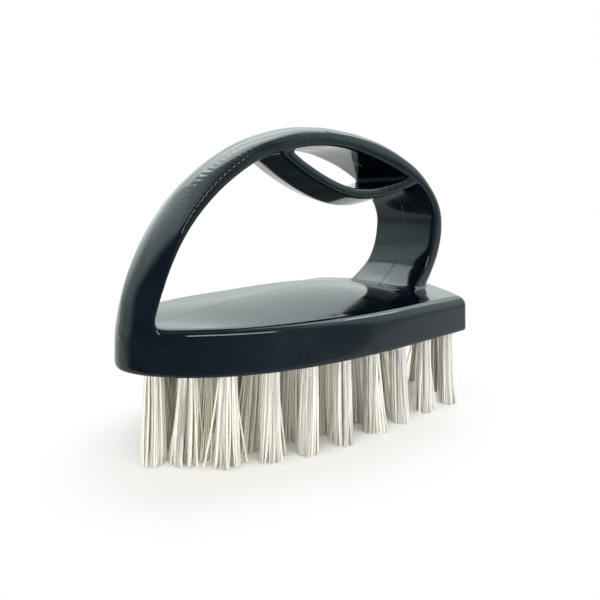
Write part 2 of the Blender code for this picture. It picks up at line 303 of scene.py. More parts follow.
@dataclass
class Wiring:
    """Short calls for the nodes of one tree."""

    tree: bpy.types.NodeTree

    def node(self, kind: str, **settings: object) -> bpy.types.Node:
        """Add a node.

        Args:
            kind: what kind of node it is.
            settings: its properties.

        Returns:
            The node.
        """
        made = self.tree.nodes.new(kind)
        for name, value in settings.items():
            setattr(made, name, value)
        return made

    def link(self, source: bpy.types.NodeSocket, target: bpy.types.NodeSocket) -> None:
        """Join two sockets."""
        self.tree.links.new(source, target)

    def feed(self, target: bpy.types.NodeSocket, value: Feed) -> None:
        """Link a socket to the target, or write a number or an opaque colour on it.

        Args:
            target: the socket that is fed.
            value: the socket, number or colour.
        """
        if isinstance(value, bpy.types.NodeSocket):
            self.link(value, target)
        elif isinstance(value, tuple):
            target.default_value = (*value, 1.0)
        else:
            target.default_value = value

    def math(self, operation: str, *values: Feed) -> bpy.types.NodeSocket:
        """Work out one number from one to three others.

        Args:
            operation: what to work out.
            values: the numbers.

        Returns:
            The result.
        """
        made = self.node("ShaderNodeMath", operation=operation)
        for socket, value in zip(made.inputs, values):
            self.feed(socket, value)
        return made.outputs[0]

    def product(self, first: Feed, *others: Feed) -> Feed:
        """Multiply numbers one after another.

        Args:
            first: the first number.
            others: the numbers after it.

        Returns:
            The product.
        """
        made = first
        for value in others:
            made = self.math("MULTIPLY", made, value)
        return made

    def ramp(self, value: Feed, zone: Span, levels: Span = (0.0, 1.0)) -> bpy.types.NodeSocket:
        """Let a number run smoothly from one level to another.

        Args:
            value: what it follows.
            zone: the values between which it changes.
            levels: its level at the zone's start and before, and at its end and after.

        Returns:
            The level.
        """
        made = self.node("ShaderNodeMapRange", interpolation_type="SMOOTHSTEP")
        for socket, number in zip(made.inputs, (value, *zone, *levels)):
            self.feed(socket, number)
        return made.outputs[0]

    def pattern(self, kind: str, vector: Feed, scale: Feed) -> bpy.types.Node:
        """Add a texture.

        Args:
            kind: what kind of texture it is.
            vector: the place that it is read at.
            scale: its turns a metre.

        Returns:
            Its node.
        """
        made = self.node(kind)
        self.feed(made.inputs["Vector"], vector)
        self.feed(made.inputs["Scale"], scale)
        return made

    def effect(self, group: bpy.types.ShaderNodeTree, vector: Feed, **values: float) -> bpy.types.Node:
        """Place a node group in a material.

        Args:
            group: the group.
            vector: what feeds its Vector.
            values: its other inputs, with _ for a space.

        Returns:
            The group's node.
        """
        made = self.node("ShaderNodeGroup", node_tree=group)
        self.feed(made.inputs["Vector"], vector)
        for name, value in values.items():
            made.inputs[name.replace("_", " ")].default_value = value
        return made

    def mix(self, share: Feed, first: Feed, second: Feed) -> bpy.types.NodeSocket:
        """Mix two colours.

        Args:
            share: how much of the second one.
            first: the first colour.
            second: the second colour.

        Returns:
            The mixed colour.
        """
        made = self.node("ShaderNodeMix", data_type="RGBA")
        self.feed(made.inputs["Factor"], share)
        self.feed(made.inputs["A"], first)
        self.feed(made.inputs["B"], second)
        return made.outputs["Result"]

    def spot(self) -> bpy.types.NodeSocket:
        """The point's place on the object."""
        return self.node("ShaderNodeTexCoord").outputs["Object"]

    def stored(self, name: str) -> bpy.types.NodeSocket:
        """A number that is stored on the mesh's points."""
        return self.node("ShaderNodeAttribute", attribute_name=name).outputs["Fac"]

    def split(self, vector: bpy.types.NodeSocket) -> bpy.types.Node:
        """Split a place into its three numbers.

        Args:
            vector: the place.

        Returns:
            The node, whose outputs are X, Y and Z.
        """
        made = self.node("ShaderNodeSeparateXYZ")
        self.link(vector, made.inputs[0])
        return made

    def along(self, place: bpy.types.Node, way: Vector) -> bpy.types.NodeSocket:
        """How far a split place lies along a level way."""
        return self.math("MULTIPLY_ADD", place.outputs["Y"], way.y, self.product(place.outputs["X"], way.x))

    def bump(self, height: Feed, shader: bpy.types.Node) -> None:
        """Let a height in metres turn a shader's normals.

        Args:
            height: the height.
            shader: the shader.
        """
        made = self.node("ShaderNodeBump")
        made.inputs["Distance"].default_value = 1.0
        self.feed(made.inputs["Height"], height)
        self.link(made.outputs[0], shader.inputs["Normal"])


@dataclass
class Effects:
    """The node groups that more than one finish uses, each built once."""

    swell_scale: float = 120.0
    swell_detail: float = 1.0
    pit_scale: float = 2600.0
    pit_detail: float = 2.0
    pit_share: float = 0.1
    smear_scale: float = 45.0
    smear_detail: float = 5.0
    smear_roughness: float = 0.62
    smear_zone: Span = (0.42, 0.72)
    speck_scale: float = 900.0
    speck_zone: Span = (0.07, 0.13)
    dusty_zone: Span = (0.50, 0.65)

    def __post_init__(self) -> None:
        """Build the groups."""
        self.grain = self._grain()
        self.handling = self._handling()

    def _grain(self) -> bpy.types.ShaderNodeTree:
        """Build a fine moulded skin: a height from slow swells and fine pits.

        Returns:
            The group.
        """
        values = {"Swell Scale": self.swell_scale, "Pit Scale": self.pit_scale, "Pit Share": self.pit_share}
        group, entry, leave = new_group("moulded_grain", values, ("Height",))
        wiring = Wiring(group)
        given = entry.outputs
        swell = wiring.pattern("ShaderNodeTexNoise", given["Vector"], given["Swell Scale"])
        swell.inputs["Detail"].default_value = self.swell_detail
        pits = wiring.pattern("ShaderNodeTexNoise", given["Vector"], given["Pit Scale"])
        pits.inputs["Detail"].default_value = self.pit_detail
        height = wiring.math("MULTIPLY_ADD", pits.outputs[0], given["Pit Share"], swell.outputs[0])
        wiring.link(height, leave.inputs["Height"])
        return group

    def _handling(self) -> bpy.types.ShaderNodeTree:
        """Build the marks of handling: broad smears and fine dust specks, each as a mask.

        Returns:
            The group.
        """
        values = {"Smear Scale": self.smear_scale, "Speck Scale": self.speck_scale}
        group, entry, leave = new_group("handling_marks", values, ("Smear", "Specks"))
        wiring = Wiring(group)
        given = entry.outputs
        smear = wiring.pattern("ShaderNodeTexNoise", given["Vector"], given["Smear Scale"])
        smear.inputs["Detail"].default_value = self.smear_detail
        smear.inputs["Roughness"].default_value = self.smear_roughness
        wiring.link(wiring.ramp(smear.outputs[0], self.smear_zone), leave.inputs["Smear"])
        specks = wiring.pattern("ShaderNodeTexVoronoi", given["Vector"], given["Speck Scale"])
        near = wiring.ramp(specks.outputs["Distance"], self.speck_zone, (1.0, 0.0))
        dusty = wiring.ramp(smear.outputs[0], self.dusty_zone)
        wiring.link(wiring.product(near, dusty), leave.inputs["Specks"])
        return group


def new_material(name: str) -> tuple[bpy.types.Material, Wiring, bpy.types.Node]:
    """Make a material.

    Args:
        name: its name.

    Returns:
        The material, its wiring and its Principled shader.
    """
    made = bpy.data.materials.new(name)
    made.use_nodes = True
    return made, Wiring(made.node_tree), made.node_tree.nodes["Principled BSDF"]


# Finishes


@dataclass(frozen=True)
class SlatePlastic:
    """Glossy slate-grey moulded plastic with tool ripples on the crown and a mould line."""

    colour: Colour = (0.0009, 0.0020, 0.0046)
    smeared: Colour = (0.0020, 0.0040, 0.0070)
    dust: Colour = (0.20, 0.20, 0.19)
    dust_share: float = 0.25
    gloss_tint: Colour = (0.80, 1.0, 1.0)
    gloss_roughness: float = 0.07
    smear_roughness: float = 0.15
    ior: float = 1.5
    swell_height: float = 0.000035
    pit_share: float = 0.03
    ripple_pitch: float = 0.0020
    ripple_height: float = 0.000050
    seam_width: float = 0.00022
    seam_height: float = 0.00022

    def material(self, effects: Effects) -> bpy.types.Material:
        """Build the material.

        Args:
            effects: the shared node groups.

        Returns:
            The material, which reads the mesh's run and ripple attributes.
        """
        made, wiring, shader = new_material("slate_gloss_plastic")
        spot = wiring.spot()
        marks = wiring.effect(effects.handling, spot)
        base = wiring.mix(marks.outputs["Smear"], self.colour, self.smeared)
        dusty = wiring.product(marks.outputs["Specks"], self.dust_share)
        wiring.link(wiring.mix(dusty, base, self.dust), shader.inputs["Base Color"])
        worn = wiring.ramp(marks.outputs["Smear"], (0.0, 1.0), (self.gloss_roughness, self.smear_roughness))
        wiring.link(worn, shader.inputs["Roughness"])
        shader.inputs["IOR"].default_value = self.ior
        wiring.feed(shader.inputs["Specular Tint"], self.gloss_tint)

        grain = wiring.effect(effects.grain, spot, Pit_Share=self.pit_share)
        swell = wiring.product(grain.outputs["Height"], self.swell_height)
        turn = wiring.product(wiring.stored("run"), math.tau / self.ripple_pitch)
        ripple = wiring.product(wiring.math("SINE", turn), self.ripple_height, wiring.stored("ripple"))
        off_seam = wiring.math("ABSOLUTE", wiring.split(spot).outputs["Y"])
        seam = wiring.ramp(off_seam, (0.0, self.seam_width), (self.seam_height, 0.0))
        wiring.bump(wiring.math("ADD", wiring.math("ADD", swell, ripple), seam), shader)
        return made


@dataclass(frozen=True)
class BristlePlastic:
    """White drawn filament, translucent, in slightly different tones, whose cream end is also painted shade
    on the inner tufts.
    """

    pale: Colour = (0.97, 0.935, 0.845)
    cream: Colour = (0.93, 0.875, 0.64)
    tip: Colour = (0.74, 0.72, 0.66)
    tip_length: float = 0.0012
    tip_share: float = 0.8
    scattering: float = 0.85
    scatter_reach: Colour = (1.0, 1.0, 1.0)
    scatter_scale: float = 0.0035
    smear_scale: float = 160.0
    smooth_roughness: float = 0.42
    smear_roughness: float = 0.57
    groove_scale: float = 900.0
    groove_height: float = 0.00001
    pit_share: float = 0.4

    def material(self, effects: Effects) -> bpy.types.Material:
        """Build the material.

        Args:
            effects: the shared node groups.

        Returns:
            The material, which reads the mesh's tone attribute.
        """
        made, wiring, shader = new_material("white_bristle")
        spot = wiring.spot()
        base = wiring.mix(wiring.stored("tone"), self.pale, self.cream)
        at_tip = wiring.ramp(wiring.split(spot).outputs["Z"], (0.0, self.tip_length), (self.tip_share, 0.0))
        wiring.link(wiring.mix(at_tip, base, self.tip), shader.inputs["Base Color"])
        shader.inputs["Subsurface Weight"].default_value = self.scattering
        shader.inputs["Subsurface Radius"].default_value = self.scatter_reach
        shader.inputs["Subsurface Scale"].default_value = self.scatter_scale
        marks = wiring.effect(effects.handling, spot, Smear_Scale=self.smear_scale)
        worn = wiring.ramp(marks.outputs["Smear"], (0.0, 1.0), (self.smooth_roughness, self.smear_roughness))
        wiring.link(worn, shader.inputs["Roughness"])
        grain = wiring.effect(effects.grain, spot, Swell_Scale=self.groove_scale, Pit_Share=self.pit_share)
        wiring.bump(wiring.product(grain.outputs["Height"], self.groove_height), shader)
        return made


@dataclass(frozen=True)
class FloorPaper:
    """Pale studio paper: to the camera it keeps the brush's shadow, and is wholly white away from it.

    The shadow is kept by distances off the line of the outer tufts, which is straight up to half_line
    along and narrows over end_zone. What glossy faces mirror of the paper changes over side_zone, to
    the camera's right, and over back_zone, away from it.
    """

    colour: Colour = (0.74, 0.74, 0.715)
    smear_gain: float = 1.02
    smear_scale: float = 9.0
    roughness: float = 0.9
    gloss_level: float = 0.1
    under_brush: float = 0.04
    beside_brush: float = 0.38
    beside_zone: Span = (-0.005, 0.004)
    clear_zone: Span = (0.003, 0.040)
    half_line: float = 0.045
    end_zone: Span = (0.015, 0.060)
    middle_reach: float = 0.031
    end_reach: float = 0.018
    mirrored_left: float = 0.70
    mirrored_right: float = 0.78
    mirrored_behind: float = 0.95
    side_zone: Span = (-0.08, 0.10)
    back_zone: Span = (-0.02, 0.12)

    def off_tufts(self, wiring: Wiring, place: bpy.types.Node) -> bpy.types.NodeSocket:
        """How far a point of the floor lies outside the line of the outer tufts.

        Args:
            wiring: the material's wiring.
            place: the point, split.

        Returns:
            The distance, below zero under the tufts.
        """
        along = wiring.math("ABSOLUTE", place.outputs["X"])
        across = place.outputs["Y"]
        past = wiring.math("MAXIMUM", wiring.math("SUBTRACT", along, self.half_line), 0.0)
        far = wiring.math("SQRT", wiring.math("MULTIPLY_ADD", across, across, wiring.product(past, past)))
        reach = wiring.ramp(along, self.end_zone, (self.middle_reach, self.end_reach))
        return wiring.math("SUBTRACT", far, reach)

    def material(self, effects: Effects, toward: Vector, right: Vector) -> bpy.types.Material:
        """Build the material.

        Args:
            effects: the shared node groups.
            toward: the level way to the camera.
            right: the level way to the camera's right.

        Returns:
            The material.
        """
        made, wiring, shader = new_material("white_paper")
        spot = wiring.spot()
        marks = wiring.effect(effects.handling, spot, Smear_Scale=self.smear_scale)
        paler = tuple(min(1.0, part * self.smear_gain) for part in self.colour)
        wiring.link(wiring.mix(marks.outputs["Smear"], self.colour, paler), shader.inputs["Base Color"])
        shader.inputs["Roughness"].default_value = self.roughness
        shader.inputs["Specular IOR Level"].default_value = self.gloss_level

        place = wiring.split(spot)
        off = self.off_tufts(wiring, place)
        beside = wiring.ramp(off, self.beside_zone, (self.under_brush, self.beside_brush))
        clear = wiring.math("ADD", beside, wiring.ramp(off, self.clear_zone, (0.0, 1.0 - self.beside_brush)))
        sides = (self.mirrored_left, self.mirrored_right)
        in_front = wiring.ramp(wiring.along(place, right), self.side_zone, sides)
        behind = wiring.ramp(wiring.along(place, -toward), self.back_zone, (0.0, self.mirrored_behind))
        rays = wiring.node("ShaderNodeLightPath")
        camera, gloss = rays.outputs["Is Camera Ray"], rays.outputs["Is Glossy Ray"]
        mirrored = wiring.product(wiring.math("MAXIMUM", in_front, behind), gloss)
        white = wiring.node("ShaderNodeEmission")
        wiring.link(wiring.math("ADD", mirrored, camera), white.inputs["Strength"])
        blend = wiring.node("ShaderNodeMixShader")
        wiring.link(wiring.math("MAXIMUM", wiring.product(clear, camera), gloss), blend.inputs[0])
        wiring.link(shader.outputs[0], blend.inputs[1])
        wiring.link(white.outputs[0], blend.inputs[2])
        wiring.link(blend.outputs[0], made.node_tree.nodes["Material Output"].inputs["Surface"])
        return made


# The moulded body


@dataclass
class BodyMoulding:
    """The block, the loop handle over it and the lower strip under the arch, blended as one moulding.

    Rows of dome_shares are shares of the length and of the dome's rise, rows of loop_shares are shares
    of the length, the handle's height, its half width and its depth along the loop's inner edge, and
    rows of strip_shares are shares of the length and the handle's height along the strip's upper edge.

    The tool ripples start, are whole, fade and end at ripple_runs along the loop, start and are whole at
    ripple_out from its inner edge line, and lie in bands whose middle and reach are shares of the half
    width. The block's nose runs into the loop's leg from join_zone before the middle, where this starts
    and is whole, and within join_levels of the rim's height, where it has gone and is whole.
    """

    length: float
    width: float
    sole: float

    # The block
    nose_reach: float = 0.1120
    nose_fullness: float = 3.4
    nose_point: float = 0.575
    heel_reach: float = 0.0275
    heel_fullness: float = 1.15
    rim_height: float = 0.0138
    rim_fillet: float = 0.0036
    wall_draft: float = 0.0005
    sole_edge: float = 0.0006
    dome_rise: float = 0.0050
    dome_shares: Table = (
        (0.00, -0.25),
        (0.10, -0.12),
        (0.27, 0.50),
        (0.52, 1.00),
        (0.66, 0.76),
        (0.76, 0.20),
        (1.00, 0.00),
    )
    hole_diameter: float = 0.0058
    hole_depth: float = 0.0085

    # The loop handle
    handle_height: float = 0.0756
    grip_width: float = 0.0330
    grip_depth: float = 0.0075
    upper_share: float = 0.5
    edge_share: float = 0.56
    edge_zone_shares: Span = (0.19, 0.61)
    inner_round: float = 0.0009
    face_bulge: float = 0.00025
    face_end_share: float = 0.999
    crown_flatness: float = 2.3
    crown_roundness: float = 1.8
    crown_zone_shares: Span = (0.70, 1.00)
    loop_shares: Table = (
        (0.039, 0.080, 0.72, 0.60),
        (0.040, 0.134, 0.76, 0.69),
        (0.041, 0.184, 0.74, 0.62),
        (0.053, 0.253, 0.71, 0.74),
        (0.066, 0.337, 0.71, 0.67),
        (0.103, 0.474, 0.68, 0.63),
        (0.140, 0.573, 0.66, 0.62),
        (0.196, 0.683, 0.65, 0.74),
        (0.255, 0.768, 0.65, 0.78),
        (0.317, 0.835, 0.65, 0.82),
        (0.379, 0.869, 0.66, 0.95),
        (0.439, 0.896, 0.67, 0.99),
        (0.510, 0.909, 0.70, 0.97),
        (0.562, 0.906, 0.72, 0.97),
        (0.605, 0.894, 0.74, 1.05),
        (0.700, 0.848, 0.81, 1.15),
        (0.790, 0.783, 0.92, 1.03),
        (0.828, 0.748, 0.96, 0.84),
        (0.865, 0.690, 0.98, 0.80),
        (0.890, 0.630, 0.99, 0.86),
        (0.900, 0.570, 0.98, 1.12),
        (0.897, 0.487, 0.97, 1.36),
        (0.889, 0.406, 0.98, 1.27),
        (0.868, 0.321, 1.00, 1.14),
        (0.830, 0.248, 1.05, 1.25),
        (0.790, 0.189, 1.10, 1.45),
        (0.755, 0.139, 1.14, 1.30),
    )

    # The lower strip
    strip_thickness: float = 0.0038
    strip_round: float = 0.0010
    strip_keel: float = 0.0025
    strip_set_in: float = 0.0006
    strip_shares: Table = (
        (0.365, 0.913),
        (0.395, 0.879),
        (0.440, 0.828),
        (0.516, 0.763),
        (0.584, 0.727),
        (0.654, 0.722),
        (0.728, 0.748),
        (0.793, 0.783),
        (0.818, 0.804),
    )

    # The tool ripples
    ripple_runs: tuple[float, float, float, float] = (0.038, 0.044, 0.060, 0.076)
    ripple_out: Span = (0.0018, 0.0028)
    ripple_band_shares: Table = ((0.40, 0.10), (1.00, 0.14))

    # The blend of nose and leg
    join_zone: Span = (0.058, 0.066)
    join_levels: Span = (0.0112, 0.0032)
    join_rounds: int = 110

    # The mesh
    outline_steps: int = 256
    fillet_steps: int = 8
    dome_steps: int = 20
    loop_steps: int = 220
    strip_steps: int = 80
    crown_steps: int = 14
    round_steps: int = 4
    hole_sides: int = 28
    fairing: float = 0.0022
    fairing_reaches: int = 3
    voxel: float = 0.00045
    smooth_factor: float = 0.5
    blend_rounds: int = 18
    sharp_angle: float = 50.0

    @property
    def half_width(self) -> float:
        """Half the block's width."""
        return self.width / 2

    @property
    def rim(self) -> float:
        """The height of the rim's top."""
        return self.sole + self.rim_height

    def world(self, along: float, across: float, up: float) -> tuple[float, float, float]:
        """A point from its distance from the nose tip."""
        return (along - self.length / 2, across, up)

    def half_width_at(self, along: float) -> float:
        """Half the block's width at one place.

        Args:
            along: the distance from the nose tip.

        Returns:
            The half width.
        """
        ahead = max(0.0, 1 - along / self.nose_reach)
        behind = max(0.0, 1 - (self.length - along) / self.heel_reach)
        to_nose = (1 - ahead**self.nose_fullness) ** self.nose_point
        to_heel = max(0.0, 1 - behind**self.heel_fullness)
        return self.half_width * min(to_nose, to_heel)

    def dome_at(self, along: float) -> float:
        """How far the dome's ridge stands over the rim at a distance from the nose tip."""
        return self.dome_rise * spline(self.dome_shares, along / self.length)[0]

    def outline(self) -> list[Span]:
        """The block's plan.

        Returns:
            (along, across) from the nose tip along -Y to the heel and back.
        """
        side = []
        half = self.outline_steps // 2
        for i in range(half + 1):
            along = self.length * (1 - math.cos(math.pi * i / half)) / 2
            side.append((along, -self.half_width_at(along)))
        side[0], side[-1] = (0.0, 0.0), (self.length, 0.0)
        return side + [(along, -across) for along, across in side[-2:0:-1]]

    def inset(self, points: Sequence[Span], distance: float) -> list[Span]:
        """Draw a plan in by about the same distance all round.

        Args:
            points: the plan.
            distance: how far.

        Returns:
            The smaller plan.
        """
        middle = self.length / 2
        long_share = (middle - distance) / middle
        wide_share = (self.half_width - distance) / self.half_width
        return [(middle + (along - middle) * long_share, across * wide_share) for along, across in points]

    def block_shape(self) -> bmesh.types.BMesh:
        """The block: a flat sole, an upright wall, a filleted rim and a domed top that meets in a ridge.

        Returns:
            The closed shape.
        """
        plan = self.outline()
        levels = [(self.sole_edge, self.sole), (0.0, self.sole + self.sole_edge)]
        for inward, below in quarter_round(self.rim_fillet, self.fillet_steps):
            levels.append((self.wall_draft + inward, self.rim - below))
        rings = [[self.world(*point, up) for point in self.inset(plan, drawn_in)] for drawn_in, up in levels]
        rim = self.inset(plan, self.wall_draft + self.rim_fillet)
        for i in range(1, self.dome_steps):
            share = i / self.dome_steps
            lift = 1 - (1 - share) ** self.crown_roundness
            ring = []
            for along, across in rim:
                ring.append(self.world(along, across * (1 - share), self.rim + self.dome_at(along) * lift))
            rings.append(ring)
        shape = bmesh.new()
        last = skin_rings(shape, rings)[-1]
        count, half = len(plan), len(plan) // 2
        ridge = [last[0]]
        for along, _ in rim[1:half]:
            ridge.append(shape.verts.new(self.world(along, 0.0, self.rim + self.dome_at(along))))
        ridge.append(last[half])
        for i in range(half):
            near = [last[i], last[i + 1], ridge[i + 1], ridge[i]]
            far = [ridge[i], ridge[i + 1], last[(count - i - 1) % count], last[(count - i) % count]]
            for corners in (near, far):
                shape.faces.new(list(dict.fromkeys(corners)))
        return shape

    def loop_stations(self) -> list[tuple[float, ...]]:
        """The loop's inner edge line, faired, at steady steps.

        Returns:
            (run, along, up, half width, depth) at each step.
        """
        half = self.grip_width / 2
        line = [
            (self.length * along, self.handle_height * up, half * wide, self.grip_depth * deep)
            for along, up, wide, deep in self.loop_shares
        ]
        line = by_chord(line)
        total = line[-1][0]
        rows = np.array([spline(line, total * i / self.loop_steps) for i in range(self.loop_steps + 1)])
        step = total / self.loop_steps
        reach = int(self.fairing_reaches * self.fairing / step)
        weights = np.exp(-0.5 * (np.arange(-reach, reach + 1) * step / self.fairing) ** 2)
        weights /= weights.sum()
        before = 2 * rows[0] - rows[reach:0:-1]
        after = 2 * rows[-1] - rows[-2 : -reach - 2 : -1]
        padded = np.vstack([before, rows, after])
        faired = np.column_stack([np.convolve(column, weights, mode="valid") for column in padded.T])
        return by_chord([tuple(row) for row in faired])

    def loop_section(
        self, half_width: float, depth: float, edge_form: float, crown_form: float
    ) -> list[Span]:
        """One section of the loop.

        Args:
            half_width: half the band's width.
            depth: how far the crown stands out from the inner edge line.
            edge_form: 0 where the sides run to a point, 1 where they have upright edges.
            crown_form: 0 for the nose's pointed form, 1 for the grip's round crown.

        Returns:
            (out from the inner edge line, across) round the section.
        """
        edge = max(depth * self.edge_share * edge_form, self.inner_round)
        flatness = 1 / self.nose_point * (1 - crown_form) + self.crown_flatness * crown_form
        roundness = 1 - crown_form + self.crown_roundness * crown_form
        corner = min(self.inner_round, edge / 2)
        side = []
        for out, inward in quarter_round(1.0, self.round_steps)[:-1]:
            side.append((corner * out, half_width - self.inner_round * inward))
        for i in range(self.round_steps + 1):
            share = i / self.round_steps
            bulge = self.face_bulge * math.sin(math.pi * share)
            side.append((corner + (edge - corner) * share * self.face_end_share, half_width + bulge))
        for i in range(self.crown_steps + 1):
            across_share = math.cos(math.pi / 2 * i / self.crown_steps) ** (2 / self.crown_flatness)
            rise = (1 - across_share**flatness) ** (1 / roundness)
            side.append((edge + (depth - edge) * rise, half_width * across_share))
        return side + [(out, -across) for out, across in reversed(side[:-1])]

    def loop_shape(self) -> bmesh.types.BMesh:
        """The loop handle: a crowned band that leaves the nose, arches over and curls back to the heel.

        Returns:
            The closed shape.
        """
        stations = self.loop_stations()
        rings = []
        for i, (_, along, up, half_width, depth) in enumerate(stations):
            before, after = stations[max(i - 1, 0)], stations[min(i + 1, len(stations) - 1)]
            way = Vector((after[1] - before[1], after[2] - before[2])).normalized()
            in_front = along < self.length / 2
            share = up / self.handle_height
            edge_form = between(*self.edge_zone_shares, share) if in_front else 1.0
            crown_form = between(*self.crown_zone_shares, share) if in_front else 1.0
            ring = []
            for out, across in self.loop_section(half_width, depth, edge_form, crown_form):
                ring.append(self.world(along - way.y * out, across, self.sole + up + way.x * out))
            rings.append(ring)
        return loft(rings)

    def strip_section(self, half_width: float) -> list[Span]:
        """One section of the lower strip.

        Args:
            half_width: half the strip's width.

        Returns:
            (down from the line of its upper edges, across) round the section.
        """
        corner = quarter_round(self.strip_round, self.round_steps)
        side = [(first, half_width - last) for first, last in corner]
        side += [(self.strip_thickness - last, half_width - first) for first, last in corner]
        other_side = [(down, -across) for down, across in reversed(side)]
        return side + [(self.strip_thickness + self.strip_keel, 0.0)] + other_side

    def strip_shape(self) -> bmesh.types.BMesh:
        """The lower strip: a keeled band whose ends run into the loop.

        Returns:
            The closed shape.
        """
        line = by_chord([(self.length * a, self.handle_height * u) for a, u in self.strip_shares])
        total = line[-1][0]
        half = self.grip_width / 2
        upper = [(self.length * a, half * w) for a, u, w, _ in self.loop_shares if u > self.upper_share]
        widths = [pair for pair, after in zip(upper, upper[1:]) if pair[0] < after[0]]
        nudge = total / self.strip_steps / 2
        rings = []
        for i in range(self.strip_steps + 1):
            run = total * i / self.strip_steps
            along, up = spline(line, run)
            before, after = spline(line, max(run - nudge, 0.0)), spline(line, min(run + nudge, total))
            way = Vector((after[0] - before[0], after[1] - before[1])).normalized()
            ring = []
            for down, across in self.strip_section(spline(widths, along)[0] - self.strip_set_in):
                ring.append(self.world(along + way.y * down, across, self.sole + up - way.x * down))
            rings.append(ring)
        return loft(rings)

    def cut_holes(self, body: bpy.types.Object, places: Sequence[Vector]) -> None:
        """Cut a blind hole for each tuft.

        Args:
            body: the moulding's mesh.
            places: the middle of each tuft.
        """
        holes = bmesh.new()
        low, high = self.sole - self.sole_edge, self.sole + self.hole_depth
        for place in places:
            bmesh.ops.create_cone(
                holes,
                cap_ends=True,
                segments=self.hole_sides,
                radius1=self.hole_diameter / 2,
                radius2=self.hole_diameter / 2,
                depth=high - low,
                matrix=Matrix.Translation((place.x, place.y, (low + high) / 2)),
            )
        combine(body, object_of("tuft_holes", holes), Operation.CUT)

    def ease_join(self, body: bpy.types.Object) -> None:
        """Let the nose of the block run into the loop's leg without a step.

        Args:
            body: the moulding's mesh.
        """
        group = body.vertex_groups.new(name="join")
        for corner in body.data.vertices:
            weight = between(*self.join_zone, -corner.co.x)
            if weight > 0:
                weight *= between(*self.join_levels, abs(corner.co.z - self.rim))
                group.add([corner.index], weight, "REPLACE")
        ease = body.modifiers.new("Ease", "SMOOTH")
        ease.vertex_group = group.name
        ease.factor = self.smooth_factor
        ease.iterations = self.join_rounds
        bake_modifiers(body)

    def mark(self, body: bpy.types.Object) -> None:
        """Store where each point lies along the loop, and how strong the tool ripple is there.

        Args:
            body: the moulding's mesh.
        """
        mesh = body.data
        points = np.empty(len(mesh.vertices) * 3)
        mesh.vertices.foreach_get("co", points)
        points = points.reshape(-1, 3)
        stations = np.array(self.loop_stations())
        line = np.column_stack([stations[:, 1] - self.length / 2, stations[:, 2] + self.sole])
        run = np.zeros(len(points))
        off = np.full(len(points), np.inf)
        across = np.zeros(len(points))
        ways = np.gradient(line, axis=0)
        ways /= np.linalg.norm(ways, axis=1)[:, None]
        for station, (x, z), way in zip(stations, line, ways):
            far = np.hypot(points[:, 0] - x, points[:, 2] - z)
            nearer = far < off
            ahead = (points[nearer, 0] - x) * way[0] + (points[nearer, 2] - z) * way[1]
            run[nearer] = station[0] + ahead
            off[nearer] = far[nearer]
            across[nearer] = -points[nearer, 1] / station[3]
        start, full, fade, end = self.ripple_runs
        rise = np.clip((run - start) / (full - start), 0, 1)
        fall = np.clip((end - run) / (end - fade), 0, 1)
        lowest, whole = self.ripple_out
        on_crown = np.clip((off - lowest) / (whole - lowest), 0, 1)
        upper = points[:, 2] - self.sole > self.handle_height * self.upper_share
        bands = sum(np.exp(-(((across - middle) / reach) ** 2)) for middle, reach in self.ripple_band_shares)
        for name, values in (("run", run), ("ripple", rise * fall * (upper * on_crown * bands))):
            stored = mesh.attributes.new(name, "FLOAT", "POINT")
            stored.data.foreach_set("value", values.astype(np.float32))

    def build(self, places: Sequence[Vector], finish: bpy.types.Material) -> bpy.types.Object:
        """Build and dress the moulding.

        Args:
            places: the middle of each tuft.
            finish: the moulding's material.

        Returns:
            The piece.
        """
        body = object_of("moulded_body", self.block_shape())
        combine(body, object_of("loop_form", self.loop_shape()), Operation.JOIN)
        combine(body, object_of("strip_form", self.strip_shape()), Operation.JOIN)
        fine = body.modifiers.new("Even", "REMESH")
        fine.mode = "VOXEL"
        fine.voxel_size = self.voxel
        smooth = body.modifiers.new("Blend", "SMOOTH")
        smooth.factor = self.smooth_factor
        smooth.iterations = self.blend_rounds
        bake_modifiers(body)
        self.ease_join(body)
        self.cut_holes(body, places)
        self.mark(body)
        body.data.shade_smooth()
        body.data.set_sharp_from_angle(angle=math.radians(self.sharp_angle))
        dress(body, finish, Slot.BODY, BODY_NODE)
        return body


# The tufts


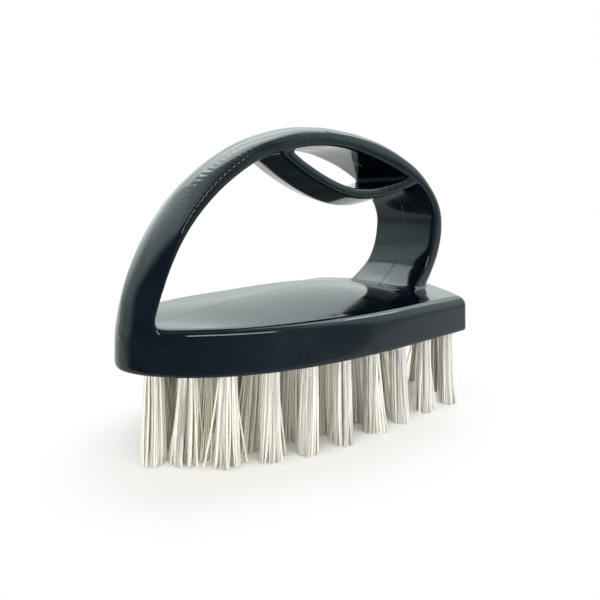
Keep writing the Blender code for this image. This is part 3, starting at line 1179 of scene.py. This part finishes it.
@dataclass
class Tuft:
    """One tuft: fine strands folded double over a flat anchor wire, with their cut ends on the floor.

    A play is a pair between which chance picks a share, or about how far chance moves a point.
    Rows of wire_end_shares are shares of the wire's half length and of its section's size, and rows
    of wire_corner_shares are shares of half its thickness and half its height.
    """

    sole: float
    combed: Vector
    flare: float
    # tint: a tone shift that is partly random and, on the inner ring, painted shade
    tint: float

    # The strands
    root_radius: float = 0.0028
    strand: float = 0.00061
    strands: int = 46
    flare_play: Span = (0.92, 1.06)
    flare_bend: float = 0.30
    comb_bend: float = 0.40
    play: float = 0.00015
    crimp: float = 0.00005
    crimp_pitch: float = 0.0085
    lowest: float = 0.00014
    uneven: float = 0.0005
    tone: float = 0.25
    tone_play: float = 0.09

    # The clumps that they gather in, and the strays that don't
    clumps: int = 9
    clump_spread_share: float = 0.86
    clump_twist: float = 9.0
    clump_play: float = 0.00040
    clump_pull: float = 0.34
    pull_play: Span = (0.6, 1.2)
    pull_onset: int = 4
    stray_share: float = 0.035
    stray_radius_share: float = 0.6
    stray_reach: float = 0.0036
    stray_play: Span = (0.35, 1.0)

    # The anchor wire and the folds over it
    wire_thickness: float = 0.0005
    wire_height: float = 0.0018
    wire_top: float = 0.0060
    wire_end_shares: Table = ((-1.0, 0.6), (-0.94, 1.0), (0.94, 1.0), (1.0, 0.6))
    wire_corner_shares: Table = (
        (-1, -0.7),
        (-0.5, -1),
        (0.5, -1),
        (1, -0.7),
        (1, 0.7),
        (0.5, 1),
        (-0.5, 1),
        (-1, 0.7),
    )
    fold_share: float = 0.75
    fold_rise: float = 0.80

    # The mesh
    sides: int = 5
    steps: int = 8
    fold_steps: int = 6
    sharp_angle: float = 80.0

    def starts(self) -> list[Vector]:
        """Places of the strands' legs on one side of the wire.

        Returns:
            The places, a steady distance apart.
        """
        reach = self.root_radius - self.strand / 2
        closest = self.strand / 2
        made = []
        for k in range(self.strands):
            radius = reach * math.sqrt((k + 0.5) / self.strands)
            angle = (k * GOLDEN_TURN) % math.pi - math.pi / 2
            out = closest + radius * math.cos(angle) * (1 - closest / reach)
            made.append(Vector((out, radius * math.sin(angle))))
        return made

    def clump_middles(self, chance: random.Random) -> list[tuple[Vector, Vector]]:
        """Where the strands gather near the floor.

        Args:
            chance: the source of the clumps' play.

        Returns:
            The middle of each clump in the root and at the tips.
        """
        made = []
        for k in range(self.clumps):
            radius = self.root_radius * math.sqrt((k + 0.5) / self.clumps) * self.clump_spread_share
            angle = k * GOLDEN_TURN + self.tint * self.clump_twist
            middle = Vector((radius * math.cos(angle), radius * math.sin(angle)))
            made.append((middle, middle * self.flare + scatter(chance, self.clump_play)))
        return made

    def leg(
        self, start: Vector, clumps: Sequence[tuple[Vector, Vector]], chance: random.Random
    ) -> list[Vector]:
        """One leg of a strand, from its fold down to the floor.

        Args:
            start: its place in the root.
            clumps: the middles of the clumps in the root and at the tips.
            chance: the source of its play.

        Returns:
            The points of its middle line.
        """
        outer = start.length > self.root_radius * self.stray_radius_share
        stray = chance.random() < self.stray_share and outer
        tip = start * self.flare * chance.uniform(*self.flare_play) + scatter(chance, self.play)
        if stray:
            tip += start.normalized() * chance.uniform(*self.stray_play) * self.stray_reach
        _, gathered = min(clumps, key=lambda pair: (pair[0] - start).length)
        pull = 0.0 if stray else self.clump_pull * chance.uniform(*self.pull_play)
        bow = scatter(chance, self.play)
        wave = Vector((chance.uniform(-1, 1), chance.uniform(-1, 1))) * self.crimp
        phase = chance.uniform(0, math.tau)
        low = self.lowest + chance.uniform(0, self.uneven)
        at_wire = start.x + math.copysign(self.wire_thickness / 2, start.x)
        made = [Vector((at_wire, start.y, self.sole + self.wire_top))]
        for i in range(self.steps + 1):
            share = i / self.steps
            point = start + (tip - start) * eased(share, self.flare_bend) + bow * math.sin(math.pi * share)
            point += (gathered - tip) * pull * share**self.pull_onset
            point += wave * math.sin(math.tau * share * self.sole / self.crimp_pitch + phase) * share
            point += self.combed * eased(share, self.comb_bend)
            made.append(Vector((point.x, point.y, self.sole + (low - self.sole) * share)))
        return made

    def fold(self, first: Vector, last: Vector) -> list[Vector]:
        """The bend of a strand over the wire.

        Args:
            first: the top of one leg.
            last: the top of the other leg.

        Returns:
            The points between them.
        """
        middle, half = (first + last) / 2, (first - last) / 2
        rise = self.strand * self.fold_share + max(half.length - self.strand, 0.0) * self.fold_rise
        made = []
        for i in range(1, self.fold_steps):
            turn = math.pi * i / self.fold_steps
            made.append(middle + half * math.cos(turn) + Vector((0.0, 0.0, rise * math.sin(turn))))
        return made

    def tube(self, line: Sequence[Vector]) -> np.ndarray:
        """The points round a strand.

        Args:
            line: the strand's middle line.

        Returns:
            The points, ring after ring.
        """
        middle = np.array([tuple(point) for point in line])
        way = np.gradient(middle, axis=0)
        way /= np.linalg.norm(way, axis=1)[:, None]
        across = np.array([0.0, 1.0, 0.0])
        normal = np.cross(way, across)
        normal /= np.linalg.norm(normal, axis=1)[:, None]
        side = np.cross(normal, way)
        turns = math.tau * np.arange(self.sides) / self.sides
        spread = np.cos(turns)[None, :, None] * side[:, None] + np.sin(turns)[None, :, None] * normal[:, None]
        return (middle[:, None] + spread * self.strand / 2).reshape(-1, 3)

    def wire(self) -> np.ndarray:
        """The anchor wire's corners.

        Returns:
            The corners of its two chamfered ends and of the straight part between them.
        """
        half_length = self.root_radius - self.wire_thickness / 4
        made = []
        for along, size in self.wire_end_shares:
            for x, z in self.wire_corner_shares:
                height = self.sole + self.wire_top - self.wire_height / 2 * (1 - z * size)
                made.append((x * self.wire_thickness / 2 * size, along * half_length, height))
        return np.array(made)

    @staticmethod
    def skin(first: int, rings: int, sides: int) -> list[tuple[int, ...]]:
        """The faces of a closed tube.

        Args:
            first: the number of its first point.
            rings: how many rings of points it has.
            sides: how many points each ring has.

        Returns:
            The faces.
        """
        made = []
        for ring in range(rings - 1):
            low = first + ring * sides
            for i in range(sides):
                j = (i + 1) % sides
                made.append((low + i, low + j, low + sides + j, low + sides + i))
        last = first + (rings - 1) * sides
        made.append(tuple(range(first + sides - 1, first - 1, -1)))
        made.append(tuple(range(last, last + sides)))
        return made

    def build(self, seed: int) -> bpy.types.Mesh:
        """Build the tuft about its own axis.

        Args:
            seed: what sets its play.

        Returns:
            The mesh, with a tone for each strand.
        """
        chance = random.Random(seed)
        clumps = self.clump_middles(chance)
        points, tones, faces = [], [], []
        first = 0
        for start in self.starts():
            legs = [self.leg(start, clumps, chance), self.leg(Vector((-start.x, start.y)), clumps, chance)]
            line = legs[0][::-1] + self.fold(legs[0][0], legs[1][0]) + legs[1]
            points.append(self.tube(line))
            shade = min(1.0, max(0.0, chance.gauss(self.tone + self.tint, self.tone_play)))
            tones.append(np.full(len(points[-1]), shade))
            faces += self.skin(first, len(line), self.sides)
            first += len(points[-1])
        points.append(self.wire())
        tones.append(np.zeros(len(points[-1])))
        faces += self.skin(first, len(self.wire_end_shares), len(self.wire_corner_shares))
        mesh = bpy.data.meshes.new("tuft")
        mesh.from_pydata(np.vstack(points).tolist(), [], faces)
        stored = mesh.attributes.new("tone", "FLOAT", "POINT")
        stored.data.foreach_set("value", np.concatenate(tones).astype(np.float32))
        turned = bmesh.new()
        turned.from_mesh(mesh)
        bmesh.ops.recalc_face_normals(turned, faces=turned.faces)
        turned.to_mesh(mesh)
        turned.free()
        mesh.shade_smooth()
        mesh.set_sharp_from_angle(angle=math.radians(self.sharp_angle))
        return mesh


@dataclass
class TuftField:
    """Every tuft of the sole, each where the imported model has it.

    Rows of combed are a tuft's number and how far its tips stand along and across from its root.
    Tufts without a row lean by chance.
    """

    sole: float
    nodes: dict[str, bpy.types.Object]
    root_clearance: float = 0.004
    flare: float = 1.36
    flare_play: Span = (-0.06, 0.08)
    nose_flare: float = 0.42
    nose_tint: float = 0.10
    nose_zone: Span = (0.030, 0.052)
    tint_play: Span = (-0.06, 0.10)
    first_inner: int = 24
    # painted shade: the inner ring's tufts are tinted cream to stand for the khaki tone that the shaded rear
    # rows show
    inner_shade_tint: float = 0.40
    lean_play: float = 0.0006
    combed: Table = (
        (1, -0.0014, 0.0008),
        (2, 0.0022, -0.0018),
        (3, 0.0016, -0.0014),
        (12, 0.0012, -0.0010),
        (13, -0.0014, 0.0012),
        (14, 0.0020, -0.0006),
        (15, 0.0025, -0.0009),
        (16, 0.0006, -0.0005),
        (17, 0.0015, -0.0013),
        (18, 0.0020, 0.0006),
        (19, 0.0006, -0.0004),
        (20, -0.0003, 0.0003),
        (21, 0.0006, 0.0020),
        (22, 0.0006, 0.0028),
        (23, -0.0005, 0.0042),
        (24, -0.0024, -0.0006),
        (25, -0.0030, 0.0006),
        (26, -0.0010, 0.0002),
        (27, -0.0024, -0.0026),
        (28, -0.0006, -0.0034),
        (29, 0.0010, -0.0034),
        (39, -0.0015, 0.0015),
    )

    def places(self) -> dict[str, Vector]:
        """The middle of each tuft's hole, from the round root of its node.

        Returns:
            The middle for each node's name.
        """
        inside = self.sole + self.root_clearance
        made = {}
        for name in sorted(name for name in self.nodes if name.startswith(TUFT_PREFIX)):
            points = [corner.co for corner in self.nodes[name].data.vertices if corner.co.z > inside]
            low = Vector((min(point.x for point in points), min(point.y for point in points), 0.0))
            high = Vector((max(point.x for point in points), max(point.y for point in points), 0.0))
            made[name] = (low + high) / 2
        return made

    def lean(self, number: int, chance: random.Random) -> Vector:
        """How far a tuft's tips stand away from its root.

        Args:
            number: the tuft's number.
            chance: the source of a lean without a row.

        Returns:
            The level step from root to tips.
        """
        for known, along, across in self.combed:
            if known == number:
                return Vector((along, across))
        return scatter(chance, self.lean_play)

    def build(self, finish: bpy.types.Material) -> list[bpy.types.Object]:
        """Build and dress every tuft.

        Args:
            finish: the strands' material.

        Returns:
            The tufts.
        """
        made = []
        for number, (name, place) in enumerate(self.places().items(), start=1):
            chance = random.Random(LEAN_SEED + number)
            near_nose = between(*self.nose_zone, -place.x)
            flare = self.flare + self.nose_flare * near_nose + chance.uniform(*self.flare_play)
            tint = chance.uniform(*self.tint_play) + self.nose_tint * near_nose
            # painted shade: the inner ring gets its cream tint here
            if number >= self.first_inner:
                tint += self.inner_shade_tint
            turn = chance.uniform(0, math.tau)
            lean = self.lean(number, chance)
            lean.rotate(Matrix.Rotation(-turn, 2))
            mesh = Tuft(self.sole, lean, flare, tint).build(STRAND_SEED + number)
            mesh.transform(Matrix.Translation(place) @ Matrix.Rotation(turn, 4, "Z"))
            tuft = bpy.data.objects.new(name.replace(TUFT_PREFIX, "tuft_"), mesh)
            bpy.context.scene.collection.objects.link(tuft)
            dress(tuft, finish, Slot.BRISTLE, name)
            made.append(tuft)
        return made


# The studio


@dataclass(frozen=True)
class Lamp:
    """A soft rectangular lamp, placed by its direction from the object."""

    name: str
    turn: float
    rise: float
    distance: float
    size: Span
    level: float
    aim: tuple[float, float, float] = (0.0, 0.0, 0.04)

    def build(self, straight_back: float) -> bpy.types.Object:
        """Hang the lamp.

        Args:
            straight_back: the compass angle, in degrees, of straight behind the object.

        Returns:
            The lamp.
        """
        light = bpy.data.lights.new(self.name, "AREA")
        light.shape = "RECTANGLE"
        light.size, light.size_y = self.size
        light.energy = math.pi * self.size[0] * self.size[1] * self.level
        made = bpy.data.objects.new(self.name, light)
        turn, rise = math.radians(straight_back - self.turn), math.radians(self.rise)
        way = Vector((math.cos(turn) * math.cos(rise), math.sin(turn) * math.cos(rise), math.sin(rise)))
        made.location = Vector(self.aim) + way * self.distance
        made.rotation_euler = (-way).to_track_quat("-Z", "Y").to_euler()
        made.visible_camera = False
        bpy.context.scene.collection.objects.link(made)
        return made


@dataclass
class Studio:
    """A pale paper floor, soft lamps, a pale surround and the camera.

    A zone is a pair of shares of the way up, toward the camera or to its right, and the levels that
    go with it are those at its two ends.
    """

    # The camera
    camera_place: tuple[float, float, float] = (-0.13729, -0.14658, 0.07956)
    camera_azimuth: float = -42.438
    camera_elevation: float = 9.84
    camera_clip: Span = (0.01, 20.0)
    focal_share: float = 532.449 / 600
    sensor: float = 36.0

    # The floor
    floor_reach: float = 0.62
    floor_front: float = 0.106
    floor_sides: int = 96

    # The light that the surround gives
    fill_zone: Span = (-0.4, 0.5)
    fill_levels: Span = (1.00, 3.50)
    overhead_zone: Span = (0.05, 0.55)
    overhead_levels: Span = (1.0, 0.22)
    side_zone: Span = (-0.80, 0.80)
    side_levels: Span = (0.84, 1.20)

    # What glossy faces mirror of it
    gloss_colour: Colour = (0.89, 1.0, 0.985)
    room_zone: Span = (-0.8, 0.9)
    room_levels: Span = (0.10, 0.36)
    behind_zone: Span = (0.06, 0.30)
    haze_zone: Span = (-0.10, 0.22)
    haze_levels: Span = (0.60, 1.25)
    left_zone: Span = (-0.95, -0.60)
    left_levels: Span = (0.85, 1.0)
    ceiling_zone: Span = (0.78, 0.94)
    ceiling_levels: Span = (1.0, 0.40)

    lamps: tuple[Lamp, ...] = (
        Lamp("back_wall", 10.0, 27.0, 1.5, (3.0, 0.85), 0.2),
        Lamp("back_softbox", 5.0, 47.0, 1.4, (2.4, 0.5), 1.3),
        Lamp("overhead_strip", 10.0, 63.0, 1.2, (1.7, 0.36), 2.0),
        Lamp("left_softbox", -75.0, 38.0, 1.3, (0.9, 0.45), 0.35),
        Lamp("right_window", 62.0, 45.0, 1.3, (0.22, 0.30), 5.0),
        Lamp("front_window", 168.0, 55.0, 1.3, (1.15, 0.22), 8.0),
    )

    @property
    def toward(self) -> Vector:
        """The level way from the object to the camera."""
        azimuth = math.radians(self.camera_azimuth)
        return Vector((math.sin(azimuth), -math.cos(azimuth), 0.0))

    @property
    def right(self) -> Vector:
        """The level way to the camera's right."""
        return Vector((-self.toward.y, self.toward.x, 0.0))

    def build_camera(self) -> None:
        """Set up the camera at the photograph's angle."""
        lens = bpy.data.cameras.new("camera")
        lens.sensor_width = self.sensor
        lens.sensor_fit = "HORIZONTAL"
        lens.lens = self.sensor * self.focal_share
        lens.clip_start, lens.clip_end = self.camera_clip
        made = bpy.data.objects.new("camera", lens)
        elevation = math.radians(self.camera_elevation)
        back = self.toward * math.cos(elevation) + Vector((0.0, 0.0, math.sin(elevation)))
        made.location = self.camera_place
        made.rotation_euler = (-back).to_track_quat("-Z", "Y").to_euler()
        bpy.context.scene.collection.objects.link(made)
        bpy.context.scene.camera = made

    def fill(self, wiring: Wiring, way: bpy.types.Node) -> Feed:
        """The light that the surround gives to dull faces.

        Args:
            wiring: the surround's wiring.
            way: the direction, split.

        Returns:
            Its level.
        """
        return wiring.product(
            wiring.ramp(wiring.along(way, self.toward), self.fill_zone, self.fill_levels),
            wiring.ramp(way.outputs["Z"], self.overhead_zone, self.overhead_levels),
            wiring.ramp(wiring.along(way, self.right), self.side_zone, self.side_levels),
        )

    def mirrored(self, wiring: Wiring, way: bpy.types.Node) -> Feed:
        """What glossy faces show of the surround: pale behind the object, dim on the camera's side.

        Args:
            wiring: the surround's wiring.
            way: the direction, split.

        Returns:
            Its level.
        """
        right = wiring.along(way, self.right)
        pale = wiring.product(
            wiring.ramp(wiring.along(way, self.toward), self.behind_zone, (1.0, 0.0)),
            wiring.ramp(way.outputs["Z"], self.haze_zone, self.haze_levels),
            wiring.ramp(right, self.left_zone, self.left_levels),
            wiring.ramp(way.outputs["Z"], self.ceiling_zone, self.ceiling_levels),
        )
        return wiring.math("MAXIMUM", pale, wiring.ramp(right, self.room_zone, self.room_levels))

    def build_world(self) -> None:
        """Surround the object: white to the camera, and otherwise as fill and mirrored give it."""
        world = bpy.data.worlds.new("studio")
        bpy.context.scene.world = world
        world.use_nodes = True
        wiring = Wiring(world.node_tree)
        background = world.node_tree.nodes["Background"]
        way = wiring.split(wiring.node("ShaderNodeTexCoord").outputs["Generated"])
        rays = wiring.node("ShaderNodeLightPath")
        gloss = rays.outputs["Is Glossy Ray"]
        seen = wiring.math("MAXIMUM", rays.outputs["Is Camera Ray"], rays.outputs["Is Transmission Ray"])
        shown = wiring.math("MAXIMUM", wiring.product(gloss, self.mirrored(wiring, way)), seen)
        dull = wiring.math("SUBTRACT", 1.0, wiring.math("MAXIMUM", seen, gloss))
        given = wiring.product(dull, self.fill(wiring, way))
        wiring.link(wiring.math("ADD", shown, given), background.inputs["Strength"])
        wiring.link(wiring.mix(gloss, (1.0, 1.0, 1.0), self.gloss_colour), background.inputs["Color"])

    def build_floor(self, effects: Effects) -> None:
        """Lay the paper floor, whose near edge is just below the camera's view.

        Args:
            effects: the shared node groups.
        """
        shape = bmesh.new()
        place = Matrix.Translation(self.toward * (self.floor_front - self.floor_reach))
        bmesh.ops.create_circle(
            shape, cap_ends=True, segments=self.floor_sides, radius=self.floor_reach, matrix=place
        )
        floor = object_of("floor", shape)
        floor.data.materials.append(FloorPaper().material(effects, self.toward, self.right))

    def build(self, effects: Effects) -> None:
        """Set up the whole studio.

        Args:
            effects: the shared node groups.
        """
        self.build_camera()
        self.build_world()
        self.build_floor(effects)
        for lamp in self.lamps:
            lamp.build(90.0 + self.camera_azimuth)


def main() -> None:
    """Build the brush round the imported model."""
    logging.basicConfig(level=logging.INFO, format="%(message)s")
    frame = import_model()
    bpy.context.scene.view_settings.view_transform = "Standard"
    low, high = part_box(BODY_NODE)
    effects = Effects()
    field_of_tufts = TuftField(low.z, frame["nodes"])
    moulding = BodyMoulding(high.x - low.x, high.y - low.y, low.z)
    body = moulding.build(list(field_of_tufts.places().values()), SlatePlastic().material(effects))
    tufts = field_of_tufts.build(BristlePlastic().material(effects))
    for piece in (body, *tufts):
        LOG.info("%s: %d faces", piece.name, len(piece.data.polygons))
    Studio().build(effects)


if __name__ == "__main__":
    main()
